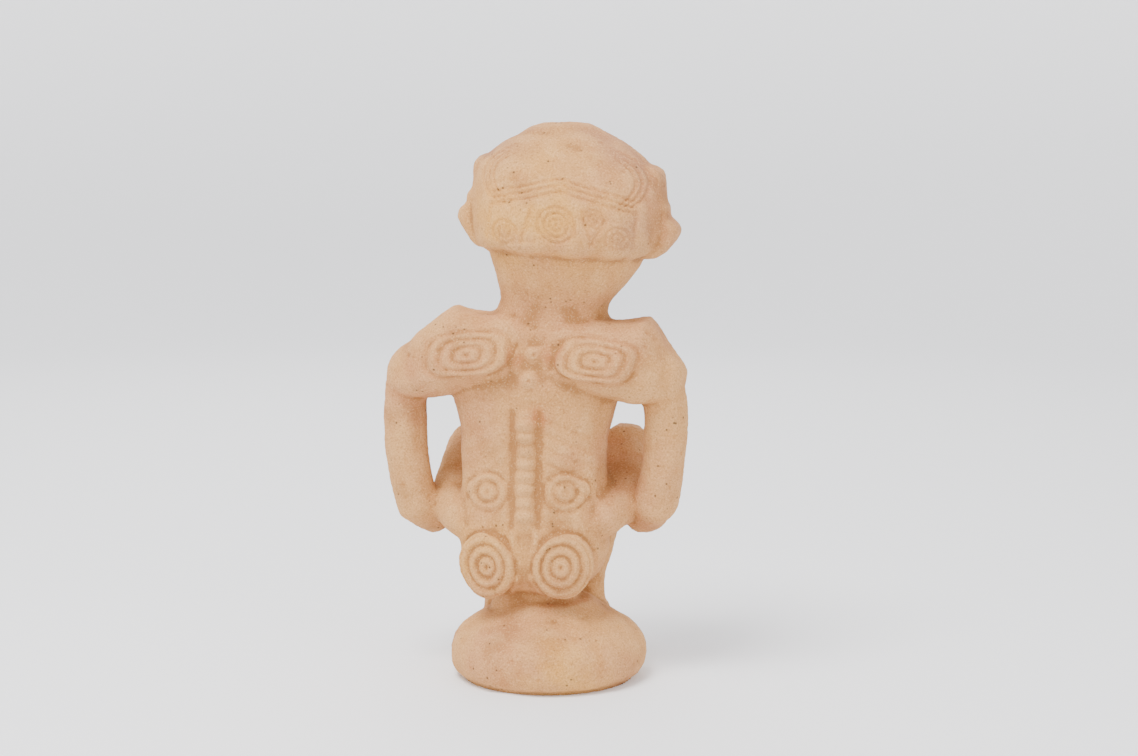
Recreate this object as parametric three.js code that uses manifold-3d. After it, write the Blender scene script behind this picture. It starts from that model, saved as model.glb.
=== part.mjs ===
// A squatting stone figure on a round domed foot, carved from one block.
// Millimetres, +Z up, origin at the centre of the flat underside.
// The face looks along -Y and the carved back along +Y.
import * as THREE from "three";
import { LoftGeometry } from "three/addons/geometries/LoftGeometry.js";
import { mergeVertices } from "three/addons/utils/BufferGeometryUtils.js";
import Module from "manifold-3d";

const wasm = await Module();
wasm.setup();

// The stone: warm sandy tan, dry and matt.
const STONE = { color: 0xcfa67c, roughness: 0.92, metalness: 0 };

// The upper body sways: below SWAY_FROM it stands HIP_SHIFT to one side of the foot,
// and above SWAY_TO it has moved HEAD_SHIFT to the other side.
const HIP_SHIFT = 7.8;
const HEAD_SHIFT = -12.7;
const SWAY_FROM = 158;
const SWAY_TO = 262;

// The body's own heights below are counted from this far above the ground.
const LIFT = 4;

// Level lines across the body roll from ROLL_LOW to ROLL_HIGH, as rise over run.
const ROLL_LOW = -0.026;
const ROLL_HIGH = 0.062;
const ROLL_FROM = 85;
const ROLL_TO = 262;

// Foot: radius and height pairs of its outline, from the underside up to the stem.
const FOOT_OUTLINE = [
  [46, 0],
  [53, 2.2],
  [57, 8],
  [58, 15.5],
  [56.5, 23],
  [51, 29.5],
  [43, 35],
  [34, 39.5],
  [26, 46],
];

// Standing bodies: height, half width, reach behind, reach in front.
const STEM = [
  [26, 33, 27, 38],
  [36, 27, 22, 37],
  [48, 25, 19, 36],
  [62, 27, 22, 35],
  [80, 32, 26, 33],
  [98, 34, 22, 30],
];
const TORSO = [
  [47.5, 22, 17, 18],
  [51, 32, 27, 23],
  [59, 39.5, 33, 26],
  [70, 43.5, 35.5, 29],
  [86, 44.5, 33.5, 29],
  [104, 43.5, 30, 28],
  [122, 42.5, 28, 27],
  [140, 43.5, 28.5, 26],
  [154, 47, 28.5, 25],
  [168, 50, 28, 24],
  [186, 50, 27.5, 24],
  [200, 42, 26, 23],
  [211, 32.5, 24.5, 22],
  [222, 30.5, 24, 22],
];
const NECK = [
  [205, 30.5, 23.5, 22],
  [215, 30.5, 24.5, 28],
  [222, 33.5, 27, 36],
  [230, 38, 31, 40],
  [239, 42, 34.5, 42],
  [248, 45, 37, 42],
  [256, 46, 38, 40],
];
const CAP = [
  [245.5, 44, 37, 36],
  [247.2, 49.5, 41.5, 40],
  [251, 53, 44, 43],
  [262, 55, 45, 45],
  [274, 55.5, 43.5, 45],
  [285, 54, 40, 43],
  [294, 50.5, 35, 39],
  [302, 43.5, 28.5, 33],
  [309, 34, 21, 26],
  [315, 23.5, 13.5, 18],
  [319, 13, 7, 10],
  [320.5, 4, 2.5, 3],
];

// Shoulder block, middle to tip: distance out, underside, top, reach behind, reach in front.
const SHOULDER = [
  [0, 172, 211, 27, 21],
  [18, 168, 211, 32, 22],
  [38, 166, 209, 34.5, 22],
  [48, 162, 209.5, 34.5, 21],
  [57, 160, 212.5, 33, 20],
  [64, 159.5, 206, 30, 18.5],
  [74, 160, 195, 25, 16.5],
  [82.5, 162, 186, 19, 14],
  [87, 168, 180, 12, 9],
];

// Limbs: distance out, depth, height, half width across, half thickness.
const ARM = [
  [74, 5, 182, 9, 10],
  [76.5, 4, 165, 13, 13],
  [77.5, 2, 148, 12.9, 13.2],
  [77, 1, 132, 12.7, 13],
  [74.5, 0, 113, 12.7, 13],
  [70.5, -2, 96, 12.7, 12.8],
  [64.5, -11, 88.5, 12.5, 12],
  [59, -28, 98, 11, 11],
  [54, -44, 112, 10.5, 10.5],
  [49, -58, 126, 10, 9.5],
  [46, -66, 131, 8, 7],
];
// One finger over the knee, from knuckle to tip, and how the four of a hand stand apart.
const FINGER = [
  [45, -64, 132, 2.3, 3],
  [45, -72, 127, 2.4, 2.8],
  [45, -74, 117, 2, 2],
];
const FINGERS = { count: 4, apart: 4.9 };
const THIGH = [
  [28, 14, 84, 12, 10],
  [38, 8, 92, 16, 13],
  [47, -6, 97, 17, 12.5],
  [49, -22, 103, 17.5, 14.5],
  [47.5, -38, 112, 18.5, 17.5],
  [45.5, -52, 120, 19, 19],
  [45, -62, 121, 15, 16],
  [45, -68, 120, 7, 8],
];
const SHIN = [
  [45, -50, 126, 10, 9],
  [44.5, -57, 112, 14.5, 13],
  [36, -52, 90, 12.5, 13],
  [28, -43, 66, 11.5, 12],
  [24.5, -34, 44, 11, 12],
  [25, -28, 26, 12, 14],
];
const SOLE = [
  [25, -16, 33, 8, 7],
  [25, -26, 32, 12, 10],
  [25.5, -38, 29, 12, 9],
  [26, -48, 24, 12, 7.5],
  [26, -54, 20.5, 10, 6],
];

// Side of the cap: the ear spool, a small knob and the upper corner, as an outline seen from behind.
const EAR_OUTLINE = [
  [38, 299],
  [46.5, 299],
  [53.5, 296.5],
  [55, 293],
  [55, 283],
  [56, 278.5],
  [58.8, 275],
  [57.8, 271],
  [60.5, 268.6],
  [63.6, 265.5],
  [64.2, 261.5],
  [62, 257],
  [56, 249],
  [52.5, 246.2],
  [46, 245],
  [38, 247],
];
const EAR_THICKNESS = 24;
const EAR_BEVEL = 2.2;

// Carved discs: ring count, ring depth and rim, set on the body at a place and a facing.
const SEAT_DISC = { at: [22, 30, 67], facing: [0.24, 0.96, -0.14], across: 18, up: 20.5, dome: 8, rings: 2 };
const BLADE_DISC = { at: [37, 30.5, 187], facing: [0.02, 0.99, 0.1], across: 25, up: 13.5, dome: 5.2, rings: 2 };
const WAIST_DISC = { at: [23, 24.5, 109], facing: [0.22, 0.97, 0], across: 14, up: 11.5, dome: 3.6, rings: 1 };
const BAND_DISC = { at: [0, 41.8, 263], facing: [0, 1, 0], across: 10.5, up: 10, dome: 3.6, rings: 2 };
const NAVEL_DISC = { at: [0, -25, 112], facing: [0, -1, 0], across: 9, up: 9, dome: 3, rings: 1 };
const RING_DEPTH = 1;

// Backbone: a row of blocks between two heights, and two loose ones between the shoulders.
const SPINE = { low: 92, high: 152, count: 8, half: 5.2, proud: 3.4 };
const NAPE_BLOCKS = [174, 189];

// Face mask: depth, half width, half height about FACE_HEIGHT.
const FACE_HEIGHT = 247;
const FACE = [
  [-18, 36, 30],
  [-40, 37, 31],
  [-47.5, 34, 28],
  [-51.5, 26, 21],
  [-53, 14, 11],
];
const EYE = { out: 15.5, height: 258, depth: -48.5, ring: 8.6, rim: 2.5, socket: 7 };
const MOUTH = { height: 230.5, depth: -46.5, half: 19, tall: 7.5, rim: 2.4, teeth: 6, tooth: 4.1 };
const NOSE = [
  [0, -47, 264, 3, 4],
  [0, -50, 256, 4, 5],
  [0, -52.5, 248, 6.5, 6],
  [0, -52, 243, 8, 5],
  [0, -50, 240, 5, 3],
];

// Roundness of sections: 2 is an ellipse, more is squarer.
const BODY_POWER = 2.5;
const BLOCK_POWER = 3;
const LIMB_POWER = 2.1;

const smoothstep = (from, to, value) => {
  const t = THREE.MathUtils.clamp((value - from) / (to - from), 0, 1);
  return t * t * (3 - 2 * t);
};

// Cosine or sine bent towards a square: the sign is kept and the size raised to 2 / power.
const squared = (value, power) => Math.sign(value) * Math.abs(value) ** (2 / power);

// Rows of a table with `steps` smooth steps between each pair, by a Catmull-Rom curve in every column.
function smoothRows(rows, steps) {
  const at = (i) => rows[THREE.MathUtils.clamp(i, 0, rows.length - 1)];
  const made = [];
  for (let i = 0; i < rows.length - 1; i++) {
    for (let k = 0; k < steps; k++) {
      const t = k / steps;
      made.push(
        rows[i].map((value, c) => {
          const [a, b, d, e] = [at(i - 1)[c], value, at(i + 1)[c], at(i + 2)[c]];
          const slopeIn = (d - a) / 2;
          const slopeOut = (e - b) / 2;
          return (
            b + t * (slopeIn + t * (3 * (d - b) - 2 * slopeIn - slopeOut + t * (2 * (b - d) + slopeIn + slopeOut)))
          );
        }),
      );
    }
  }
  made.push([...rows[rows.length - 1]]);
  return made;
}

// One closed ring in the plane of `across` and `over`, half widths given each way.
function ring({ centre, across, over, half, ahead, behind, power, around }) {
  const points = [];
  for (let i = 0; i < around; i++) {
    const angle = (2 * Math.PI * i) / around;
    const c = squared(Math.cos(angle), power);
    const s = squared(Math.sin(angle), power);
    points.push(
      centre
        .clone()
        .addScaledVector(across, half * c)
        .addScaledVector(over, s * (s > 0 ? ahead : behind)),
    );
  }
  return points;
}

const X = new THREE.Vector3(1, 0, 0);
const Y = new THREE.Vector3(0, 1, 0);
const Z = new THREE.Vector3(0, 0, 1);
const CAPPED = { capStart: true, capEnd: true };

// A body of level sections, from rows of height, half width, reach behind and reach in front.
function standing(rows, { steps = 1, around = 36, power = BODY_POWER } = {}) {
  const sections = smoothRows(rows, steps).map(([z, half, back, front]) =>
    ring({ centre: new THREE.Vector3(0, 0, z), across: X, over: Y, half, ahead: back, behind: front, power, around }),
  );
  return new LoftGeometry(sections, CAPPED);
}

// A limb along its path: every section is square to the path, with one axis kept level across the body.
function limb(rows, side, { steps = 2, around = 14 } = {}) {
  const stations = smoothRows(rows, steps);
  const points = stations.map(([x, y, z]) => new THREE.Vector3(side * x, y, z));
  const sections = stations.map(([, , , half, thick], i) => {
    const tangent = points[Math.min(i + 1, points.length - 1)]
      .clone()
      .sub(points[Math.max(i - 1, 0)])
      .normalize();
    const across = X.clone().addScaledVector(tangent, -tangent.x).normalize();
    const over = tangent.clone().cross(across);
    return ring({
      centre: points[i],
      across,
      over,
      half,
      ahead: thick,
      behind: thick,
      power: LIMB_POWER,
      around,
    });
  });
  return new LoftGeometry(sections, CAPPED);
}

// The shoulder block, lofted from tip to tip across the body.
function shoulderBlock() {
  const half = smoothRows(SHOULDER, 1);
  const rows = [...half.slice(1).reverse().map(([x, ...rest]) => [-x, ...rest]), ...half];
  const sections = rows.map(([x, low, high, back, front]) => {
    const centre = new THREE.Vector3(x, (back - front) / 2, (low + high) / 2);
    const tall = (high - low) / 2;
    return ring({
      centre,
      across: Y,
      over: Z,
      half: (back + front) / 2,
      ahead: tall,
      behind: tall,
      power: BLOCK_POWER,
      around: 16,
    });
  });
  return new LoftGeometry(sections, CAPPED);
}

// The round domed foot, turned about the Z axis.
function foot() {
  const outline = FOOT_OUTLINE.map(([r, z]) => new THREE.Vector2(r, z));
  const [, top] = FOOT_OUTLINE[FOOT_OUTLINE.length - 1];
  const closed = [new THREE.Vector2(0, 0), ...outline, new THREE.Vector2(0, top)];
  return new THREE.LatheGeometry(closed, 30).rotateX(Math.PI / 2);
}

// A domed disc with concentric carved rings, turned about its own axis and then set on the body.
function ringedDisc({ at, facing, across, up, dome, rings }, side = 1, around = 14) {
  const outline = [];
  const bands = 2 * rings + 1;
  for (let i = 0; i <= bands; i++) {
    const share = (0.82 * i) / bands;
    const sunk = i % 2 === 0 ? RING_DEPTH : 0;
    outline.push(new THREE.Vector2(share, dome * (1 - 0.35 * share * share) - sunk));
  }
  outline.push(new THREE.Vector2(0.9, dome * 0.72), new THREE.Vector2(1, dome * 0.4));
  outline.push(new THREE.Vector2(0.96, -0.3 * dome), new THREE.Vector2(0, -0.3 * dome));
  const turned = new THREE.LatheGeometry(outline.reverse(), around);
  turned.scale(across, 1, up);
  const out = new THREE.Vector3(side * facing[0], facing[1], facing[2]).normalize();
  const level = new THREE.Vector3().crossVectors(out, Z).normalize();
  const rise = new THREE.Vector3().crossVectors(level, out);
  turned.applyMatrix4(new THREE.Matrix4().makeBasis(level, out, rise));
  return turned.translate(side * at[0], at[1], at[2]);
}

// The side of the cap, cut from a plate and bevelled.
function ear(side) {
  const shape = new THREE.Shape(EAR_OUTLINE.map(([x, z]) => new THREE.Vector2(side * x, z)));
  const plate = new THREE.ExtrudeGeometry(shape, {
    depth: EAR_THICKNESS - 2 * EAR_BEVEL,
    bevelSize: EAR_BEVEL,
    bevelOffset: -EAR_BEVEL,
    bevelThickness: EAR_BEVEL,
    bevelSegments: 1,
  });
  return plate.translate(0, 0, EAR_BEVEL - EAR_THICKNESS / 2).rotateX(Math.PI / 2);
}

// The fingers of one hand.
function fingers(side) {
  const made = [];
  for (let i = 0; i < FINGERS.count; i++) {
    const offset = (i - (FINGERS.count - 1) / 2) * FINGERS.apart;
    const rows = FINGER.map(([x, ...rest]) => [x + offset, ...rest]);
    made.push(limb(rows, side, { steps: 1, around: 5 }));
  }
  return made;
}

// A squashed ball.
function ball([x, y, z], [rx, ry, rz], around = 12) {
  return new THREE.SphereGeometry(1, around, Math.round(around * 0.6)).scale(rx, ry, rz).translate(x, y, z);
}

// How far behind the axis the surface of a standing body lies, at a height and a distance out.
function reachBehind(rows, x, z) {
  const next = rows.findIndex((row) => row[0] > z);
  const [low, high] = [rows[next - 1], rows[next]];
  const t = (z - low[0]) / (high[0] - low[0]);
  const half = THREE.MathUtils.lerp(low[1], high[1], t);
  const back = THREE.MathUtils.lerp(low[2], high[2], t);
  return back * (1 - Math.abs(x / half) ** BODY_POWER) ** (1 / BODY_POWER);
}

function backbone() {
  const { low, high, count, half, proud } = SPINE;
  const pitch = (high - low) / count;
  const blocks = [];
  for (let i = 0; i < count; i++) {
    const z = low + (i + 0.5) * pitch;
    blocks.push(ball([0, reachBehind(TORSO, 0, z), z], [half, proud, pitch * 0.56], 8));
  }
  for (const z of NAPE_BLOCKS) blocks.push(ball([0, reachBehind(TORSO, 0, z) + 1, z], [4.6, 3, 4.6], 8));
  return blocks;
}

// A raised ring round an eye or the mouth, facing -Y.
function rimAt([x, y, z], half, tall, rim, around = 14) {
  return new THREE.TorusGeometry(1, rim / Math.min(half, tall), 5, around)
    .scale(half, tall, Math.min(half, tall))
    .rotateX(Math.PI / 2)
    .translate(x, y, z);
}

function teeth() {
  const { height, depth, half, teeth: count, tooth } = MOUTH;
  const pitch = (2 * (half - 3)) / count;
  const made = [];
  for (const row of [-1, 1]) {
    for (let i = 0; i < count; i++) {
      const x = (i - (count - 1) / 2) * pitch;
      const box = new THREE.BoxGeometry(pitch * 0.8, 6, tooth);
      made.push(box.translate(x, depth + 2 - Math.abs(x) * -0.08, height + row * (tooth / 2 + 0.35)));
    }
  }
  return made;
}

function faceMask() {
  const sections = FACE.map(([y, half, tall]) =>
    ring({
      centre: new THREE.Vector3(0, y, FACE_HEIGHT),
      across: X,
      over: Z,
      half,
      ahead: tall,
      behind: tall,
      power: BODY_POWER,
      around: 24,
    }),
  );
  return new LoftGeometry(sections, CAPPED);
}

// Moves every point of a body part with the sway and the roll of the whole figure.
function sway(geometry) {
  const position = geometry.getAttribute("position");
  for (let i = 0; i < position.count; i++) {
    const [x, y, z] = [position.getX(i), position.getY(i), position.getZ(i)];
    const shift = HIP_SHIFT + (HEAD_SHIFT - HIP_SHIFT) * smoothstep(SWAY_FROM, SWAY_TO, z);
    const roll = ROLL_LOW + (ROLL_HIGH - ROLL_LOW) * smoothstep(ROLL_FROM, ROLL_TO, z);
    position.setXYZ(i, x + shift, y, z + x * roll + LIFT);
  }
  return geometry;
}

// A closed geometry as a solid: only positions are kept, and faces that merging flattened are dropped.
function solidOf(geometry) {
  const flat = geometry.index ? geometry.toNonIndexed() : geometry;
  const bare = new THREE.BufferGeometry().setAttribute("position", flat.getAttribute("position"));
  const merged = mergeVertices(bare, 1e-3);
  const source = merged.index.array;
  const kept = [];
  for (let i = 0; i < source.length; i += 3) {
    const [a, b, c] = [source[i], source[i + 1], source[i + 2]];
    if (a !== b && b !== c && c !== a) kept.push(a, b, c);
  }
  const mesh = { numProp: 3, vertProperties: merged.attributes.position.array, triVerts: new Uint32Array(kept) };
  const solid = new wasm.Manifold(new wasm.Mesh(mesh));
  if (solid.volume() > 0) return solid;
  for (let i = 0; i < kept.length; i += 3) [kept[i], kept[i + 1]] = [kept[i + 1], kept[i]];
  return new wasm.Manifold(new wasm.Mesh({ ...mesh, triVerts: new Uint32Array(kept) }));
}

// All pieces of stone that stand on the foot, before the sway.
function bodyParts() {
  const parts = [
    standing(STEM, { around: 24 }),
    standing(TORSO, { around: 28 }),
    standing(NECK, { around: 24 }),
    standing(CAP, { around: 30 }),
    shoulderBlock(),
    faceMask(),
    limb(NOSE, 1, { steps: 1, around: 10 }),
    ringedDisc(BAND_DISC),
    ringedDisc(NAVEL_DISC, 1, 12),
    ...backbone(),
  ];
  for (const side of [1, -1]) {
    parts.push(
      limb(ARM, side, { steps: 1, around: 12 }),
      limb(THIGH, side, { steps: 1 }),
      limb(SHIN, side, { steps: 1, around: 12 }),
      limb(SOLE, side, { steps: 1, around: 10 }),
      ...fingers(side),
      ear(side),
      ringedDisc(SEAT_DISC, side),
      ringedDisc(BLADE_DISC, side),
      ringedDisc(WAIST_DISC, side, 12),
    );
  }
  return parts;
}

// Stone taken away: the eye sockets and the inside of the mouth.
function hollows() {
  const made = [ball([0, MOUTH.depth - 6, MOUTH.height], [MOUTH.half, 7, MOUTH.tall], 14)];
  for (const side of [1, -1]) {
    made.push(ball([side * EYE.out, EYE.depth - 3.5, EYE.height], [EYE.socket, 6.5, EYE.socket], 12));
  }
  return made;
}

// Raised work inside and around the hollows.
function faceRelief() {
  const made = [rimAt([0, MOUTH.depth - 1.5, MOUTH.height], MOUTH.half, MOUTH.tall, MOUTH.rim, 18), ...teeth()];
  for (const side of [1, -1]) {
    made.push(rimAt([side * EYE.out, EYE.depth, EYE.height], EYE.ring, EYE.ring, EYE.rim));
  }
  return made;
}

const union = (solids) => solids.reduce((whole, next) => whole.add(next));
const swayed = (geometries) => geometries.map((geometry) => solidOf(sway(geometry)));

function figureSolid() {
  const cut = swayed(hollows()).reduce((whole, next) => whole.subtract(next), union(swayed(bodyParts())));
  return union([cut, ...swayed(faceRelief()), solidOf(foot())]);
}

function geometryOf(solid) {
  const mesh = solid.getMesh();
  const geometry = new THREE.BufferGeometry();
  geometry.setAttribute("position", new THREE.BufferAttribute(mesh.vertProperties, 3));
  geometry.setIndex(new THREE.BufferAttribute(mesh.triVerts, 1));
  geometry.computeVertexNormals();
  return geometry;
}

const figure = new THREE.Mesh(geometryOf(figureSolid()), new THREE.MeshStandardMaterial(STONE));
figure.name = "zemi_figure";

const root = new THREE.Group();
root.add(figure);

export default root;
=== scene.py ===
"""The looks of the squatting stone figure: its fine surface, its finish, the studio and the camera.

Metres, +Z up, in the frame's own axes: the face looks along -Y and the carved back along +Y.
"""

import logging
import math
from dataclasses import dataclass, replace
from enum import Enum

import bpy
import numpy as np
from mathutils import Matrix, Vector


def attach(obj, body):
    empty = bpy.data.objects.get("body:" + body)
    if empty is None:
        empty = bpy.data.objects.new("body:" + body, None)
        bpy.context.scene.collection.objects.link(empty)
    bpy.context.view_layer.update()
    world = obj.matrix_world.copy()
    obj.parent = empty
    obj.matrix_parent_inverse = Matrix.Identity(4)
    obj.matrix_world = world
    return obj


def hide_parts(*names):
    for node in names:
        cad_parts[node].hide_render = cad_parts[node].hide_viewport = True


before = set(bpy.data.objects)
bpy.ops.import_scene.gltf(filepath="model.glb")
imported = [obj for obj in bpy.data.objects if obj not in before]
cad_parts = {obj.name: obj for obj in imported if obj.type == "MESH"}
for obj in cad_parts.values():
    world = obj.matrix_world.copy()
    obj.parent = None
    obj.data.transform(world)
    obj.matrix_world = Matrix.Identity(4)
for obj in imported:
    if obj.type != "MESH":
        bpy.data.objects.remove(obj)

MM = 0.001
SCREEN_GAMMA = 2.2
LOG = logging.getLogger("stone_figure")
Array = np.ndarray
Colour = tuple[float, float, float]
Place = tuple[float, float, float]
Span = tuple[float, float]


class Side(Enum):
    """The two sides of the body, as the sign of X."""

    LEFT_SEEN_FROM_BEHIND = 1
    RIGHT_SEEN_FROM_BEHIND = -1


def smoothstep(low: float, high: float, value: Array) -> Array:
    """Goes from 0 at low to 1 at high with level ends: t squared times (3 - 2t)."""
    share = np.clip((value - low) / (high - low), 0.0, 1.0)
    return share * share * (3.0 - 2.0 * share)


def bell(gap: Array, width: float) -> Array:
    """Is 1 where there is no gap, and e to the power of minus (gap / width) squared elsewhere."""
    return np.exp(-((gap / width) ** 2))


@dataclass(frozen=True)
class Sway:
    """The bend of the body, in millimetres: a sideways shift and a roll that change with height."""

    lift: float = 4.0
    hip_shift: float = 7.8
    head_shift: float = -12.7
    shift_span: Span = (158.0, 262.0)
    roll_low: float = -0.026
    roll_high: float = 0.062
    roll_span: Span = (85.0, 262.0)
    passes: int = 4

    def upright(self, points: Array) -> Array:
        """Takes the sway out of points on the figure.

        The height z and the distance out x solve x = X - shift(z) and z = Z - lift - x * roll(z),
        by putting each into the other a few times.

        Args:
            points: places in metres, one row each.

        Returns:
            The same places on the straight body, in millimetres.
        """
        across, depth, height = (points / MM).T
        rise = height - self.lift
        out = across
        for _ in range(self.passes):
            shift = self.hip_shift + (self.head_shift - self.hip_shift) * smoothstep(*self.shift_span, rise)
            roll = self.roll_low + (self.roll_high - self.roll_low) * smoothstep(*self.roll_span, rise)
            out = across - shift
            rise = height - self.lift - out * roll
        return np.column_stack([out, depth, rise])


@dataclass(frozen=True)
class Rings:
    """Nested oval grooves round a centre on the back, in millimetres."""

    at: Span
    half: Span
    count: int
    depth: float
    tilt: float = 0.0
    squareness: float = 2.0
    sharpness: float = 1.6
    rim_fade: float = 0.6

    def height(self, x: Array, z: Array) -> Array:
        """Cosine waves of r, where r is 1 on the outer oval: a groove at each 1/count of r.

        Args:
            x: how far across the back each point is.
            z: how high it is.

        Returns:
            The height at each point, negative in a groove.
        """
        c, s = math.cos(self.tilt), math.sin(self.tilt)
        u = ((x - self.at[0]) * c + (z - self.at[1]) * s) / self.half[0]
        v = ((z - self.at[1]) * c - (x - self.at[0]) * s) / self.half[1]
        power = self.squareness
        r = (np.abs(u) ** power + np.abs(v) ** power) ** (1.0 / power)
        wave = (0.5 + 0.5 * np.cos(2.0 * np.pi * self.count * r)) ** self.sharpness
        edge = 1.0 - smoothstep(1.0, 1.0 + self.rim_fade / self.count, r)
        return -self.depth * wave * edge


@dataclass(frozen=True)
class Stroke:
    """One straight carved groove, or a raised bar where its depth is negative, in millimetres."""

    start: Span
    end: Span
    width: float
    depth: float

    def height(self, x: Array, z: Array) -> Array:
        """A bell curve of the distance to the segment from start to end.

        Args:
            x: how far across the back each point is.
            z: how high it is.

        Returns:
            The height at each point, negative in a groove.
        """
        run = (self.end[0] - self.start[0], self.end[1] - self.start[1])
        along = ((x - self.start[0]) * run[0] + (z - self.start[1]) * run[1]) / (run[0] ** 2 + run[1] ** 2)
        along = np.clip(along, 0.0, 1.0)
        gap = np.hypot(x - self.start[0] - along * run[0], z - self.start[1] - along * run[1])
        return -self.depth * bell(gap, self.width)


@dataclass(frozen=True)
class HeadPanel:
    """The panel on the back of the head: shallow chevron lines below and curved lines at both ends."""

    middle: float = -2.0
    half: Span = (47.0, 22.0)
    slope: float = 0.24
    lines: tuple[float, ...] = (0.0, 3.4, 6.8)
    width: float = 0.85
    depth: float = 0.9
    chevron_top: float = 289.0
    chevron_ends: Span = (38.0, 45.0)
    oval_middle: float = 288.0
    curves_from: Span = (24.0, 34.0)
    curves_above: Span = (270.0, 276.0)
    ridge_radius: float = 1.06
    ridge_width: float = 2.4
    ridge_height: float = 0.7
    ridge_above: Span = (284.0, 292.0)

    def height(self, x: Array, z: Array) -> Array:
        """Three sets of bell curves.

        Grooves lie where z meets chevron_top - slope * |x| - line, and, at both ends, where the oval
        radius r is a line short of 1. A soft ridge lies where r meets ridge_radius.

        Args:
            x: how far across the back each point is.
            z: how high it is.

        Returns:
            The height at each point, negative in a groove.
        """
        out = np.abs(x - self.middle)
        flat = 1.0 - smoothstep(*self.chevron_ends, out)
        total = np.zeros_like(x)
        for line in self.lines:
            gap = z - (self.chevron_top - self.slope * out - line)
            total -= self.depth * bell(gap, self.width) * flat
        r = np.hypot(out / self.half[0], (z - self.oval_middle) / self.half[1])
        ends = smoothstep(*self.curves_from, out) * smoothstep(*self.curves_above, z)
        for line in self.lines:
            gap = (r - 1.0) * self.half[0] + line
            total -= self.depth * bell(gap, self.width) * ends
        ridge = bell((r - self.ridge_radius) * self.half[1], self.ridge_width)
        total += self.ridge_height * ridge * smoothstep(*self.ridge_above, z)
        return total


@dataclass(frozen=True)
class Backbone:
    """The raised ridge down the middle of the back, cut across into blocks, with a groove on each side."""

    low: float = 88.0
    high: float = 156.0
    pitch: float = 7.5
    half: float = 5.0
    proud: float = 1.6
    block_cut: float = 0.2
    flank_at: float = 8.4
    flank_width: float = 2.2
    flank_depth: float = 1.0
    fade: Span = (4.0, 3.0)

    def height(self, x: Array, z: Array) -> Array:
        """A flat-topped ridge times a wave along it, less a bell-shaped groove on either side.

        Args:
            x: how far across the back each point is.
            z: how high it is.

        Returns:
            The height at each point, negative in a groove.
        """
        outer, inner = self.fade
        begun = smoothstep(self.low - outer, self.low + inner, z)
        ended = smoothstep(self.high - inner, self.high + outer, z)
        span = begun * (1.0 - ended)
        ridge = np.exp(-((x / self.half) ** 4))
        blocks = 1.0 - self.block_cut + self.block_cut * np.cos(2.0 * np.pi * (z - self.low) / self.pitch)
        flank = bell(np.abs(x) - self.flank_at, self.flank_width)
        return span * (self.proud * ridge * blocks - self.flank_depth * flank)


Motif = Rings | Stroke | HeadPanel | Backbone


@dataclass(frozen=True)
class Ribs:
    """Slanting grooves that run down and outwards from the backbone, fainter on one side."""

    count: int = 5
    top: float = 151.0
    pitch: float = 8.5
    inner: float = 12.0
    outer: float = 36.0
    drop: float = 11.0
    width: float = 1.2
    faint_depth: float = 0.28
    clear_depth: float = 0.5

    def strokes(self, side: Side) -> list[Stroke]:
        """The grooves of one side.

        Args:
            side: the side of the body.

        Returns:
            One stroke for each rib, from the top one down.
        """
        depth = self.faint_depth if side is Side.LEFT_SEEN_FROM_BEHIND else self.clear_depth
        made = []
        for number in range(self.count):
            high = self.top - self.pitch * number
            start = (side.value * self.inner, high)
            made.append(Stroke(start, (side.value * self.outer, high - self.drop), self.width, depth))
        return made


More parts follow.
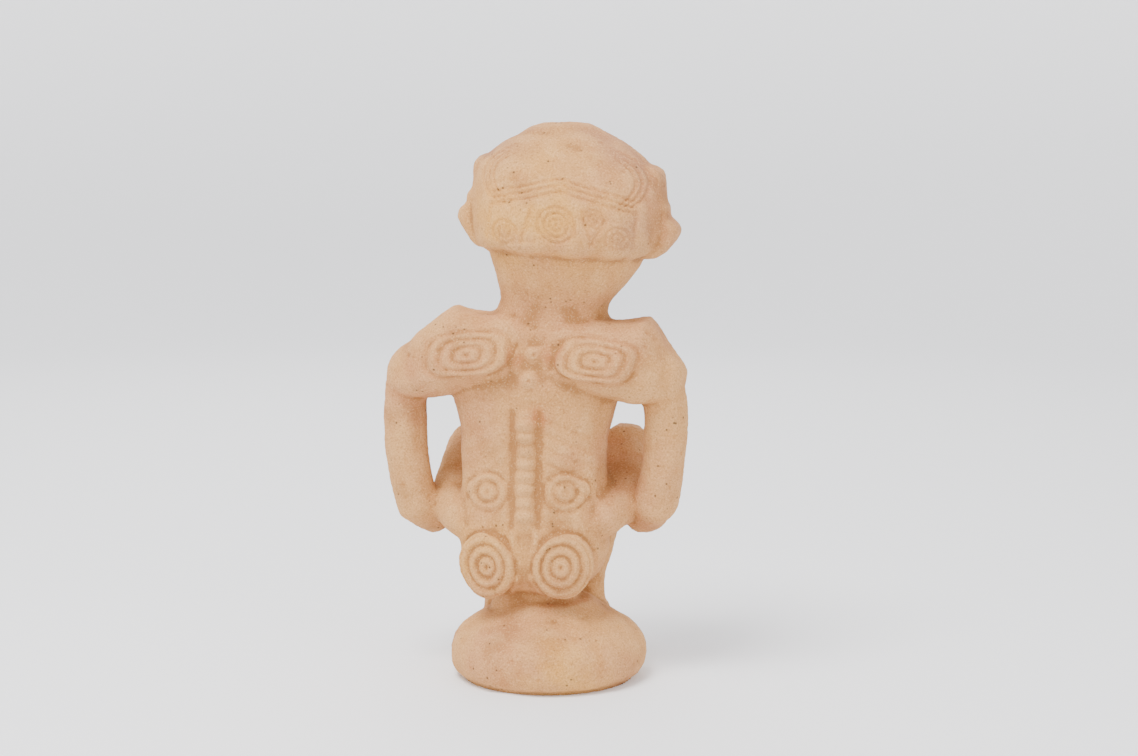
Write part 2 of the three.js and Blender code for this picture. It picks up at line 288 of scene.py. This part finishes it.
@dataclass(frozen=True)
class BackCarving:
    """Everything carved on the back, as one height over the straight body.

    Motifs of the head and the middle are given in place, and those that both sides have for the left side.
    """

    head_rings: tuple[Rings, ...] = (
        Rings((0.0, 263.5), (10.5, 10.0), 3, 0.9),
        Rings((30.0, 257.5), (7.0, 6.5), 2, 0.7),
        Rings((-21.0, 268.0), (5.5, 5.0), 2, 0.6),
        Rings((-34.0, 258.0), (6.5, 6.0), 2, 0.7),
    )
    head_strokes: tuple[Stroke, ...] = (
        Stroke((14.0, 272.0), (20.0, 253.0), 0.9, 0.6),
        Stroke((20.0, 253.0), (12.0, 253.5), 0.9, 0.5),
        Stroke((-14.0, 272.0), (-20.0, 254.0), 0.9, 0.6),
        Stroke((-20.0, 254.0), (-28.0, 268.0), 0.9, 0.6),
        Stroke((38.0, 272.0), (41.0, 254.0), 0.9, 0.6),
        Stroke((-44.0, 274.0), (-42.0, 254.0), 0.9, 0.6),
    )
    nape_holes: tuple[Stroke, ...] = (
        Stroke((-1.0, 189.0), (-1.0, 188.9), 1.2, 1.8),
        Stroke((-1.0, 174.0), (-1.0, 173.9), 1.2, 1.8),
    )
    seat: Rings = Rings((22.0, 67.0), (17.0, 20.0), 3, 1.35, tilt=-0.12)
    blade: Rings = Rings((37.0, 187.5), (24.0, 13.0), 3, 0.95, tilt=-0.1, squareness=3.2)
    waist: Rings = Rings((23.0, 109.0), (13.0, 11.5), 2, 0.95)
    nape_slot: Stroke = Stroke((10.5, 194.0), (11.0, 181.0), 1.7, 1.1)
    seat_ridges: tuple[Stroke, ...] = (
        Stroke((7.5, 86.0), (5.0, 60.0), 2.0, -1.4),
        Stroke((5.0, 60.0), (9.0, 50.0), 2.0, -1.2),
    )
    ribs: Ribs = Ribs()

    def motifs(self) -> list[Motif]:
        """Lists the carved motifs.

        Returns:
            Those of the head and the middle, then those of each side.
        """
        made: list[Motif] = [HeadPanel(), Backbone(), *self.head_rings, *self.head_strokes, *self.nape_holes]
        for side in Side:
            made += self.one_side(side)
        return made

    def one_side(self, side: Side) -> list[Rings | Stroke]:
        """What both sides have, turned round for the right side.

        Args:
            side: the side of the body.

        Returns:
            The three discs, the sunk slot beside the nape, the ridges by the seat and the ribs.
        """
        sign = side.value
        made: list[Rings | Stroke] = [
            replace(disc, at=(sign * disc.at[0], disc.at[1]), tilt=sign * disc.tilt)
            for disc in (self.seat, self.blade, self.waist)
        ]
        made += [
            replace(cut, start=(sign * cut.start[0], cut.start[1]), end=(sign * cut.end[0], cut.end[1]))
            for cut in (self.nape_slot, *self.seat_ridges)
        ]
        return made + self.ribs.strokes(side)

    def height(self, upright: Array) -> Array:
        """The carved height in millimetres: the sum of the motifs' heights."""
        x, _, z = upright.T
        return sum(motif.height(x, z) for motif in self.motifs())


@dataclass(frozen=True)
class Weathering:
    """Hand-worked unevenness and pits, in millimetres, the same in each run."""

    seed: int = 11
    swell: float = 0.34
    swell_lengths: Span = (14.0, 34.0)
    grain: float = 0.07
    grain_lengths: Span = (2.6, 5.5)
    waves_each: int = 18
    pits: int = 420
    pit_radius: Span = (0.45, 1.15)
    pit_depth: Span = (0.35, 0.95)
    pit_reach: float = 3.0

    def waves(self, points: Array, size: float, lengths: Span, draw: np.random.Generator) -> Array:
        """A sum of sine waves in drawn directions, phases and lengths.

        Args:
            points: places in millimetres.
            size: the spread of the sum.
            lengths: the shortest and the longest wave.
            draw: where the random numbers come from.

        Returns:
            One height for each point.
        """
        count = self.waves_each
        facing = draw.normal(size=(count, 3))
        facing /= np.linalg.norm(facing, axis=1, keepdims=True)
        wave = 2.0 * np.pi / draw.uniform(*lengths, size=count)
        phase = draw.uniform(0.0, 2.0 * np.pi, size=count)
        total = np.sin(points @ (facing * wave[:, None]).T + phase).sum(axis=1)
        return size * total / math.sqrt(count / 2.0)

    def height(self, points: Array) -> Array:
        """Swell and grain waves, less a bell-shaped pit at each drawn vertex.

        Args:
            points: the vertices in millimetres.

        Returns:
            One height for each vertex.
        """
        draw = np.random.default_rng(self.seed)
        made = self.waves(points, self.swell, self.swell_lengths, draw)
        made += self.waves(points, self.grain, self.grain_lengths, draw)
        centres = points[draw.integers(0, len(points), self.pits)]
        radii = draw.uniform(*self.pit_radius, size=self.pits)
        depths = draw.uniform(*self.pit_depth, size=self.pits)
        for centre, radius, depth in zip(centres, radii, depths):
            gap = ((points - centre) ** 2).sum(axis=1)
            near = gap < (self.pit_reach * radius) ** 2
            made[near] -= depth * np.exp(-gap[near] / radius**2)
        return made


def read(values: bpy.types.bpy_prop_collection, name: str, width: int, kind: type = np.float64) -> Array:
    """Reads one property of all elements of a mesh.

    Args:
        values: the mesh's vertices or edges.
        name: the property.
        width: how many numbers it has for each element.
        kind: the type of those numbers.

    Returns:
        One row for each element.
    """
    flat = np.zeros(len(values) * width, dtype=kind)
    values.foreach_get(name, flat)
    return flat.reshape(-1, width)


def neighbour_mean(values: Array, edges: Array) -> Array:
    """The mean of each vertex's neighbours, summed along the edges both ways.

    Args:
        values: one row for each vertex.
        edges: pairs of vertex numbers.

    Returns:
        The rows of the means.
    """
    count = len(values)
    a, b = edges.T
    valence = np.bincount(a, minlength=count) + np.bincount(b, minlength=count)
    columns = [np.bincount(a, column[b], count) + np.bincount(b, column[a], count) for column in values.T]
    return np.stack(columns, axis=1) / np.maximum(valence, 1)[:, None]


def baked(piece: bpy.types.Object, name: str) -> bpy.types.Object:
    """Applies the piece's modifiers.

    Args:
        piece: an object with modifiers, which is deleted.
        name: the name of the new object.

    Returns:
        A new object that has the finished mesh.
    """
    graph = bpy.context.evaluated_depsgraph_get()
    mesh = bpy.data.meshes.new_from_object(piece.evaluated_get(graph))
    bpy.data.objects.remove(piece)
    mesh.name = name
    made = bpy.data.objects.new(name, mesh)
    bpy.context.scene.collection.objects.link(made)
    return made


@dataclass
class StoneFigure:
    """The whole figure with its foot, one block of stone."""

    node: str = "zemi_figure"
    name: str = "carved_figure"
    slot: str = "sandstone"
    voxel: float = 0.9 * MM
    merge_gap: float = 0.001 * MM
    relax_rounds: int = 26
    relax_share: float = 0.5
    fine_share: float = 0.12
    fine_beyond: Span = (-36.0, -44.0)
    facing_back: Span = (0.12, 0.5)
    behind_middle: Span = (0.0, 10.0)
    above_foot: Span = (42.0, 48.0)
    above_floor: Span = (1.0, 4.0)
    underside_height: float = 1.5 * MM
    underside_facing: float = -0.7
    hollow_rounds: int = 8
    hollow_depth: float = 0.45 * MM
    most_triangles: int = 190_000
    sway: Sway = Sway()

    def rough(self) -> bpy.types.Object:
        """The solid's form on an even grid of small faces.

        Returns:
            A new object.
        """
        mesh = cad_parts[self.node].data.copy()
        mesh.materials.clear()
        piece = bpy.data.objects.new("rough", mesh)
        bpy.context.scene.collection.objects.link(piece)
        weld = piece.modifiers.new("merge", "WELD")
        weld.merge_threshold = self.merge_gap
        grid = piece.modifiers.new("grid", "REMESH")
        grid.mode = "VOXEL"
        grid.voxel_size = self.voxel
        return baked(piece, "gridded")

    def relaxed(self, places: Array, edges: Array) -> Array:
        """Rounds the stone: each vertex goes a share of the way to its neighbours' mean, some rounds.

        The share is smaller on the face and the hands, whose forms are finer.

        Args:
            places: the vertices in metres.
            edges: pairs of vertex numbers.

        Returns:
            The moved vertices.
        """
        fine = smoothstep(*self.fine_beyond, places[:, 1] / MM)[:, None]
        share = self.relax_share + (self.fine_share - self.relax_share) * fine
        moved = places
        for _ in range(self.relax_rounds):
            moved = moved + share * (neighbour_mean(moved, edges) - moved)
        return moved

    def carved(self, mesh: bpy.types.Mesh) -> Array:
        """The vertices moved along their normals by the carving and the weathering.

        Carving is cut only where the surface looks back: its height is multiplied by a smooth step of
        the normal's Y. Weathering is everywhere but the flat underside.

        Args:
            mesh: the rounded stone.

        Returns:
            The moved vertices in metres.
        """
        places = read(mesh.vertices, "co", 3)
        normals = read(mesh.vertices, "normal", 3)
        upright = self.sway.upright(places)
        back = smoothstep(*self.facing_back, normals[:, 1]) * smoothstep(*self.behind_middle, upright[:, 1])
        height = BackCarving().height(upright) * back * smoothstep(*self.above_foot, upright[:, 2])
        height += Weathering().height(places / MM) * smoothstep(*self.above_floor, places[:, 2] / MM)
        made = places + normals * (height * MM)[:, None]
        under = (normals[:, 2] < self.underside_facing) & (places[:, 2] < self.underside_height)
        made[under, 2] = 0.0
        made[:, 2] = np.maximum(made[:, 2], 0.0)
        return made

    def thinned(self, piece: bpy.types.Object) -> bpy.types.Object:
        """Merges the flattest faces until the piece is under its limit.

        Args:
            piece: the carved stone, which is deleted.

        Returns:
            A new object with no more than most_triangles.
        """
        piece.data.calc_loop_triangles()
        ratio = self.most_triangles / max(len(piece.data.loop_triangles), 1)
        if ratio < 1.0:
            fewer = piece.modifiers.new("fewer", "DECIMATE")
            fewer.ratio = ratio
        return baked(piece, self.name)

    def mark_hollows(self, mesh: bpy.types.Mesh) -> None:
        """Writes how sunk each vertex is, from 0 on an edge to 1 in a groove, as the attribute hollow.

        The measure is the distance along the normal to the neighbours' mean, averaged a few times. The
        material uses it to paint shade in the grooves and a highlight on the edges.

        Args:
            mesh: the finished mesh.
        """
        places = read(mesh.vertices, "co", 3)
        normals = read(mesh.vertices, "normal", 3)
        edges = read(mesh.edges, "vertices", 2, np.int32)
        smooth = places
        for _ in range(self.hollow_rounds):
            smooth = neighbour_mean(smooth, edges)
        sunk = ((smooth - places) * normals).sum(axis=1)[:, None] / self.hollow_depth
        sunk = neighbour_mean(neighbour_mean(sunk, edges), edges)
        values = np.clip(0.5 + 0.5 * sunk[:, 0], 0.0, 1.0).astype(np.float32)
        mesh.attributes.new("hollow", "FLOAT", "POINT").data.foreach_set("value", values)

    def build(self) -> bpy.types.Object:
        """Makes, dresses and places the piece.

        Returns:
            The piece.
        """
        piece = self.rough()
        mesh = piece.data
        edges = read(mesh.edges, "vertices", 2, np.int32)
        places = self.relaxed(read(mesh.vertices, "co", 3), edges)
        mesh.vertices.foreach_set("co", places.astype(np.float32).ravel())
        mesh.update()
        mesh.vertices.foreach_set("co", self.carved(mesh).astype(np.float32).ravel())
        mesh.update()
        piece = self.thinned(piece)
        piece.data.shade_smooth()
        self.mark_hollows(piece.data)
        piece.data.materials.clear()
        piece.data.materials.append(Sandstone().build())
        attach(piece, "root")
        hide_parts(self.node)
        LOG.info("%s: %d faces", piece.name, len(piece.data.polygons))
        return piece


def linear(red: int, green: int, blue: int) -> Colour:
    """A screen colour, 0 to 255, as the linear light that shaders use."""
    return tuple((value / 255.0) ** SCREEN_GAMMA for value in (red, green, blue))


class Value:
    """A number in a shader, with Python's own operators."""

    def __init__(self, shader: "Shader", socket: bpy.types.NodeSocket) -> None:
        """Wraps an output socket of the shader."""
        self.shader = shader
        self.socket = socket

    def _with(self, operation: str, first: object, second: object) -> "Value":
        """A Math node of the two."""
        node = self.shader.node("ShaderNodeMath", {"operation": operation}, {0: first, 1: second})
        return Value(self.shader, node.outputs[0])

    def __add__(self, other: object) -> "Value":
        """Sum."""
        return self._with("ADD", self, other)

    __radd__ = __add__

    def __sub__(self, other: object) -> "Value":
        """Difference."""
        return self._with("SUBTRACT", self, other)

    def __rsub__(self, other: object) -> "Value":
        """Difference from a number."""
        return self._with("SUBTRACT", other, self)

    def __mul__(self, other: object) -> "Value":
        """Product."""
        return self._with("MULTIPLY", self, other)

    __rmul__ = __mul__


@dataclass(frozen=True)
class Noise:
    """A noise pattern: its waves to a metre, its number of finer layers and how strong those are."""

    scale: float
    detail: float = 3.0
    roughness: float = 0.55


class Shader:
    """One material's nodes."""

    def __init__(self, name: str) -> None:
        """Starts an empty node tree.

        Args:
            name: the material's name.
        """
        self.material = bpy.data.materials.new(name)
        self.material.use_nodes = True
        self.tree = self.material.node_tree
        self.tree.nodes.clear()
        self.place = self.node("ShaderNodeTexCoord", {}, {}).outputs["Object"]

    def node(self, kind: str, settings: dict, inputs: dict) -> bpy.types.Node:
        """Makes a node.

        Args:
            kind: the node's type.
            settings: its properties, set first.
            inputs: its sockets by name or number, each with a value, a socket or a Value.

        Returns:
            The node.
        """
        made = self.tree.nodes.new(kind)
        for key, value in settings.items():
            setattr(made, key, value)
        for key, value in inputs.items():
            source = value.socket if isinstance(value, Value) else value
            if isinstance(source, bpy.types.NodeSocket):
                self.tree.links.new(source, made.inputs[key])
            else:
                made.inputs[key].default_value = source
        return made

    def noise(self, pattern: Noise) -> Value:
        """Noise on the object's own coordinates.

        Args:
            pattern: its scale and layers.

        Returns:
            A value that is mostly between 0.2 and 0.8.
        """
        layers = {"Detail": pattern.detail, "Roughness": pattern.roughness}
        inputs = {"Vector": self.place, "Scale": pattern.scale, **layers}
        return Value(self, self.node("ShaderNodeTexNoise", {}, inputs).outputs[0])

    def specks(self, scale: float) -> Value:
        """The distance to scattered points."""
        node = self.node("ShaderNodeTexVoronoi", {}, {"Vector": self.place, "Scale": scale})
        return Value(self, node.outputs["Distance"])

    def step(self, value: Value, low: float, high: float) -> Value:
        """A smooth step.

        Args:
            value: what is measured.
            low: where the step is 0.
            high: where it is 1.

        Returns:
            The step's value.
        """
        settings = {"interpolation_type": "SMOOTHSTEP"}
        node = self.node("ShaderNodeMapRange", settings, {"Value": value, "From Min": low, "From Max": high})
        return Value(self, node.outputs[0])

    def near(self, place: Place, reach: float) -> Value:
        """1 at a place, falling to 0 at a distance of reach."""
        node = self.node("ShaderNodeVectorMath", {"operation": "DISTANCE"}, {0: self.place, 1: place})
        return 1.0 - self.step(Value(self, node.outputs["Value"]), 0.0, reach)

    def blend(self, factor: Value, under: object, over: object) -> bpy.types.NodeSocket:
        """Goes from one colour to another.

        Args:
            factor: 0 for the colour under, 1 for the colour over.
            under: a colour, or the socket of one.
            over: a colour, or the socket of one.

        Returns:
            The socket of the mixed colour.
        """
        colours = [(*c, 1.0) if isinstance(c, tuple) else c for c in (under, over)]
        node = self.node("ShaderNodeMix", {"data_type": "RGBA"}, {0: factor, 6: colours[0], 7: colours[1]})
        return node.outputs[2]


@dataclass(frozen=True)
class Band:
    """The values of a pattern between which a mask goes from none to all, and the mask's strength."""

    low: float
    high: float
    strength: float = 1.0

    def above(self, shader: Shader, value: Value) -> Value:
        """A mask of the pattern's high parts."""
        return shader.step(value, self.low, self.high) * self.strength

    def below(self, shader: Shader, value: Value) -> Value:
        """A mask of the pattern's low parts."""
        return (1.0 - shader.step(value, self.low, self.high)) * self.strength


@dataclass(frozen=True)
class Stain:
    """A large soft patch of colour round a place, in metres."""

    place: Place
    reach: float
    strength: float
    colour: Colour


@dataclass(frozen=True)
class Sandstone:
    """Dry sandy stone: warm tan, with ochre, pinkish and mauve patches, pits and pale grains."""

    tan: Colour = linear(194, 141, 87)
    deep: Colour = linear(148, 99, 56)
    ochre: Colour = linear(204, 148, 74)
    pink: Colour = linear(186, 129, 86)
    mauve: Colour = linear(152, 109, 88)
    rust: Colour = linear(160, 84, 46)
    pale: Colour = linear(224, 180, 126)
    dark: Colour = linear(60, 44, 34)
    roughness: float = 0.93
    gloss: float = 0.25
    clouds: Noise = Noise(16.0)
    cloud_band: Band = Band(0.40, 0.66)
    mottle: Noise = Noise(34.0)
    mottle_band: Band = Band(0.50, 0.72, 0.5)
    breaks: Noise = Noise(42.0)
    break_band: Band = Band(0.30, 0.62)
    hollow_shade_band: Band = Band(0.52, 0.85, 0.75)
    edge_highlight_band: Band = Band(0.10, 0.45, 0.2)
    grain: Noise = Noise(950.0, 2.0, 0.7)
    dark_grain_band: Band = Band(0.48, 0.70, 0.55)
    pale_grain_band: Band = Band(0.28, 0.46, 0.45)
    speck_scale: float = 210.0
    speck_band: Band = Band(0.08, 0.20)
    speck_fields: Noise = Noise(70.0)
    speck_field_band: Band = Band(0.52, 0.60)
    speck_strength: float = 0.75
    dust: Noise = Noise(1500.0, 2.0, 0.6)
    dust_strength: float = 0.6
    bump_strength: float = 0.6
    bump_distance: float = 0.35 * MM
    stains: tuple[Stain, ...] = (
        Stain((-0.008, 0.045, 0.272), 0.062, 0.85, ochre),
        Stain((0.030, 0.040, 0.262), 0.045, 0.85, ochre),
        Stain((0.034, 0.036, 0.070), 0.040, 0.85, ochre),
        Stain((-0.020, 0.050, 0.010), 0.045, 0.85, ochre),
        Stain((-0.045, 0.000, 0.305), 0.050, 0.8, mauve),
        Stain((0.025, 0.000, 0.312), 0.045, 0.8, mauve),
        Stain((-0.052, 0.030, 0.262), 0.020, 0.8, mauve),
        Stain((0.013, 0.030, 0.192), 0.011, 0.8, rust),
        Stain((-0.009, 0.030, 0.194), 0.013, 0.8, rust),
        Stain((0.000, 0.030, 0.156), 0.012, 0.8, rust),
    )

    def build(self) -> bpy.types.Material:
        """Makes the material: broad clouds, stains, painted shade in the hollows, painted highlights on the
        raised edges, grain, then dark specks.

        Returns:
            The material.
        """
        shader = Shader("dry_sandstone")
        clouds = self.cloud_band.above(shader, shader.noise(self.clouds))
        colour = shader.blend(clouds, self.tan, self.pink)
        mottle = self.mottle_band.above(shader, shader.noise(self.mottle))
        colour = shader.blend(mottle, colour, self.deep)
        colour = self.stained(shader, colour)
        attribute = shader.node("ShaderNodeAttribute", {"attribute_name": "hollow"}, {})
        hollow = Value(shader, attribute.outputs["Fac"])
        # Painted shade: the grooves and pits are darkened towards the deep colour by how sunk they are.
        colour = shader.blend(self.hollow_shade_band.above(shader, hollow), colour, self.deep)
        # Painted highlight: the raised edges are lightened towards the pale colour.
        colour = shader.blend(self.edge_highlight_band.below(shader, hollow), colour, self.pale)
        grain = shader.noise(self.grain)
        colour = shader.blend(self.dark_grain_band.above(shader, grain), colour, self.deep)
        colour = shader.blend(self.pale_grain_band.below(shader, grain), colour, self.pale)
        fields = self.speck_field_band.above(shader, shader.noise(self.speck_fields))
        specks = self.speck_band.below(shader, shader.specks(self.speck_scale)) * fields
        colour = shader.blend(specks * self.speck_strength, colour, self.dark)
        relief = grain + shader.noise(self.dust) * self.dust_strength - specks
        inputs = {"Height": relief, "Strength": self.bump_strength, "Distance": self.bump_distance}
        bump = shader.node("ShaderNodeBump", {}, inputs)
        inputs = {"Base Color": colour, "Roughness": self.roughness, "Specular IOR Level": self.gloss}
        surface = shader.node("ShaderNodeBsdfPrincipled", {}, {**inputs, "Normal": bump.outputs[0]})
        shader.node("ShaderNodeOutputMaterial", {}, {"Surface": surface.outputs[0]})
        return shader.material

    def stained(self, shader: Shader, colour: bpy.types.NodeSocket) -> bpy.types.NodeSocket:
        """Lays the large stains over the colour, each broken up by noise.

        Args:
            shader: the material's nodes.
            colour: the socket of the colour so far.

        Returns:
            The socket of the stained colour.
        """
        breaks = self.break_band.above(shader, shader.noise(self.breaks))
        for stain in self.stains:
            factor = shader.near(stain.place, stain.reach) * breaks * stain.strength
            colour = shader.blend(factor, colour, stain.colour)
        return colour


@dataclass(frozen=True)
class Lamp:
    """A square soft lamp: its place and size in metres and its power in watts."""

    name: str
    place: Place
    size: float
    watts: float

    def build(self, target: Place) -> None:
        """Makes the lamp.

        Args:
            target: the place that it looks at.
        """
        data = bpy.data.lights.new(self.name, "AREA")
        data.size = self.size
        data.energy = self.watts
        lamp = bpy.data.objects.new(self.name, data)
        lamp.location = self.place
        lamp.rotation_euler = (Vector(target) - Vector(self.place)).to_track_quat("-Z", "Y").to_euler()
        bpy.context.scene.collection.objects.link(lamp)


@dataclass(frozen=True)
class Studio:
    """A pale seamless bowl with an open top, and soft lamps."""

    floor_radius: float = 1.7
    bend_radius: float = 0.9
    wall_height: float = 1.3
    paper: Colour = (0.93, 0.93, 0.94)
    painted_glow: float = 0.45
    painted_glow_height: float = 0.7
    sky: Colour = (0.96, 0.97, 1.0)
    sky_strength: float = 0.85
    bend_points: int = 25
    turns: int = 96
    centre_radius: float = 0.001
    target: Place = (0.0, 0.0, 0.16)
    lamps: tuple[Lamp, ...] = (
        Lamp("key_lamp", (0.4, 0.75, 1.75), 0.8, 46.0),
        Lamp("side_lamp", (-1.1, 0.9, 0.9), 0.9, 4.0),
        Lamp("front_lamp", (0.4, -1.2, 1.2), 1.0, 9.0),
    )

    def bowl(self) -> bpy.types.Object:
        """The bowl: a profile of floor, quarter circle and wall, turned round the Z axis.

        Returns:
            The bowl, which belongs to the stage and not to the figure.
        """
        turn = np.linspace(0.0, np.pi / 2.0, self.bend_points)
        out = self.floor_radius + self.bend_radius * np.sin(turn)
        rise = self.bend_radius * (1.0 - np.cos(turn))
        rim = [self.floor_radius + self.bend_radius, self.bend_radius + self.wall_height]
        profile = np.vstack([[self.centre_radius, 0.0], np.stack([out, rise], axis=1), rim])
        n = self.turns
        around = np.linspace(0.0, 2.0 * np.pi, n, endpoint=False)
        x = profile[:, :1] * np.cos(around)
        y = profile[:, :1] * np.sin(around)
        z = np.repeat(profile[:, 1:], n, axis=1)
        places = np.stack([x, y, z], axis=-1).reshape(-1, 3)
        i, j = np.meshgrid(np.arange(len(profile) - 1), np.arange(n), indexing="ij")
        k = (j + 1) % n
        faces = np.stack([(i + 1) * n + j, (i + 1) * n + k, i * n + k, i * n + j], axis=-1).reshape(-1, 4)
        mesh = bpy.data.meshes.new("studio_floor")
        mesh.from_pydata(places.tolist(), [], faces.tolist())
        mesh.shade_smooth()
        mesh.materials.append(self.paper_material())
        made = bpy.data.objects.new("studio_floor", mesh)
        bpy.context.scene.collection.objects.link(made)
        return made

    def paper_material(self) -> bpy.types.Material:
        """Matt pale paper with painted light: it glows a little more the higher it is, standing in for the
        light that falls on a lit backdrop.

        Returns:
            The material.
        """
        shader = Shader("studio_paper")
        height = Value(shader, shader.node("ShaderNodeSeparateXYZ", {}, {0: shader.place}).outputs["Z"])
        # Painted light: emission that rises with height, though the paper is no lamp.
        painted_glow = shader.blend(shader.step(height, 0.0, self.painted_glow_height), (0.0, 0.0, 0.0), (1.0, 1.0, 1.0))
        inputs = {"Base Color": (*self.paper, 1.0), "Roughness": 1.0, "Emission Color": painted_glow}
        surface = shader.node("ShaderNodeBsdfPrincipled", {}, {**inputs, "Emission Strength": self.painted_glow})
        shader.node("ShaderNodeOutputMaterial", {}, {"Surface": surface.outputs[0]})
        return shader.material

    def build(self) -> None:
        """Makes the bowl, the sky light and the lamps."""
        self.bowl()
        world = bpy.data.worlds.new("soft_sky")
        world.use_nodes = True
        background = world.node_tree.nodes["Background"]
        background.inputs["Color"].default_value = (*self.sky, 1.0)
        background.inputs["Strength"].default_value = self.sky_strength
        bpy.context.scene.world = world
        for lamp in self.lamps:
            lamp.build(self.target)


@dataclass(frozen=True)
class PhotoCamera:
    """The photograph's viewpoint: behind the figure, a little to one side, near head height."""

    distance: float = 1.277
    height: float = 0.344
    down_degrees: float = 7.5
    round_degrees: float = 10.0
    sideways: float = 0.014
    figure_offset: float = 0.0018
    focal_px: float = 2213.0
    image_width_px: float = 1138.0
    sensor: float = 36.0

    def build(self) -> None:
        """Makes the camera and sets it as the scene's."""
        turn = math.radians(self.round_degrees)
        down = math.radians(self.down_degrees)
        back = Vector((-math.sin(turn), math.cos(turn), 0.0))
        right = Vector((-math.cos(turn), -math.sin(turn), 0.0))
        data = bpy.data.cameras.new("photo_camera")
        data.sensor_width = self.sensor
        data.lens = self.sensor * self.focal_px / self.image_width_px
        camera = bpy.data.objects.new("photo_camera", data)
        stand = Vector((self.figure_offset, 0.0, self.height))
        camera.location = back * self.distance + right * self.sideways + stand
        look = -back * math.cos(down) - Vector((0.0, 0.0, math.sin(down)))
        camera.rotation_euler = look.to_track_quat("-Z", "Y").to_euler()
        bpy.context.scene.collection.objects.link(camera)
        bpy.context.scene.camera = camera


def main() -> None:
    """Builds the studio, the camera and the figure."""
    logging.basicConfig(level=logging.INFO, format="%(name)s: %(message)s")
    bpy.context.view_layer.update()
    PhotoCamera().build()
    Studio().build()
    StoneFigure().build()


if __name__ == "__main__":
    main()
